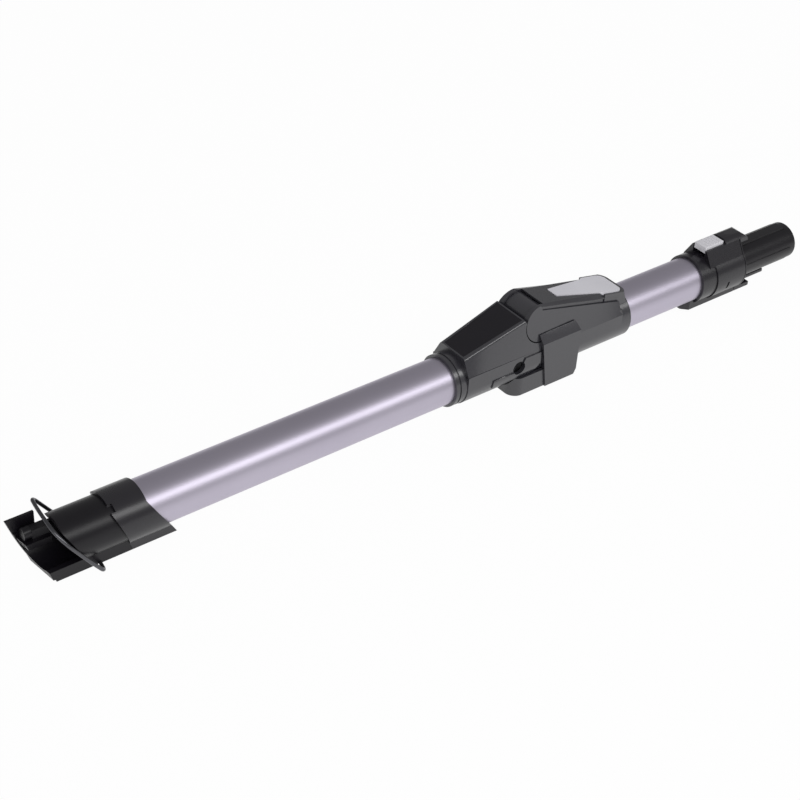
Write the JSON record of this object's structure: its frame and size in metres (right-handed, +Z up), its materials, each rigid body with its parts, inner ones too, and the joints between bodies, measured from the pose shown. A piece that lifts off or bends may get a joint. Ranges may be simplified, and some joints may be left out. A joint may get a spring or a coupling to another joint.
{
  "type": "folding vacuum wand",
  "caption": "Straight vacuum cleaner wand with a folding hinge in the middle, an open socket for a floor tool at one end and a latching spigot for the handle at the other",
  "frame": {"origin": "On the tubes' axis, at the shoulder where the spigot leaves its collar", "axes": "+X along the wand, out of the spigot; +Y across, on the terminal block's side; +Z up, on the side of the release button"},
  "size_m": [0.6898, 0.046, 0.0679],
  "materials": {
    "tube_aluminium": "satin",
    "black_plastic": "satin",
    "inlay_plastic": "matt",
    "button_plastic": "satin",
    "catch_plastic": "satin",
    "duct_plastic": "matt",
    "hose_rubber": "matt",
    "steel": "bright",
    "contact_brass": "bright"
  },
  "bodies": {
    "lower": {"lower_tube": "tube_aluminium", "lower_wire_duct": "duct_plastic", "socket_shell": "black_plastic", "socket_collar": "black_plastic", "terminal_block": "black_plastic", "terminal_pins": "contact_brass", "wire_ring": "steel", "socket_screws": "steel", "lower_hinge_cover": "black_plastic", "inlay_plate": "inlay_plastic", "lower_hinge_shell": "black_plastic", "knuckle_arm": "black_plastic", "lower_hose_cuff": "black_plastic", "lower_hinge_screws": "steel", "flex_hose": "hose_rubber"},
    "upper": {"upper_tube": "tube_aluminium", "upper_wire_duct": "duct_plastic", "upper_hinge_cover": "black_plastic", "upper_hinge_shell": "black_plastic", "guard": "black_plastic", "hinge_pin": "steel", "pin_cap": "black_plastic", "upper_hose_cuff": "black_plastic", "upper_hinge_screws": "steel", "guard_screws": "steel", "button_pivot": "steel", "spring_seat": "duct_plastic", "button_spring": "steel", "spigot_collar": "black_plastic", "spigot": "black_plastic", "button_hood": "black_plastic", "contact_tongue": "black_plastic", "contact_blades": "contact_brass", "catch_spring": "steel", "collar_screws": "steel"},
    "button": {"release_button": "button_plastic", "latch_lever": "black_plastic"},
    "catch": {"catch_button": "catch_plastic"}
  },
  "joints": [
    {"name": "fold", "type": "hinge", "parent": "lower", "child": "upper", "pos_m": [-0.2195, 0, 0.03], "axis": [0, -1, 0], "range_deg": [0, 90], "deforming": ["flex_hose"]},
    {"name": "button_press", "type": "hinge", "parent": "upper", "child": "button", "pos_m": [-0.1895, 0, 0.03155], "axis": [0, 1, 0], "range_deg": [0, 3.2], "stiffness_Nm_per_rad": 1.1, "springref_deg": -2.86, "deforming": ["button_spring"]},
    {"name": "catch_press", "type": "slide", "parent": "upper", "child": "catch", "axis": [0, 0, -1], "range_m": [0, 0.003], "stiffness_N_per_m": 800, "springref_m": -0.001, "deforming": ["catch_spring"]}
  ]
}
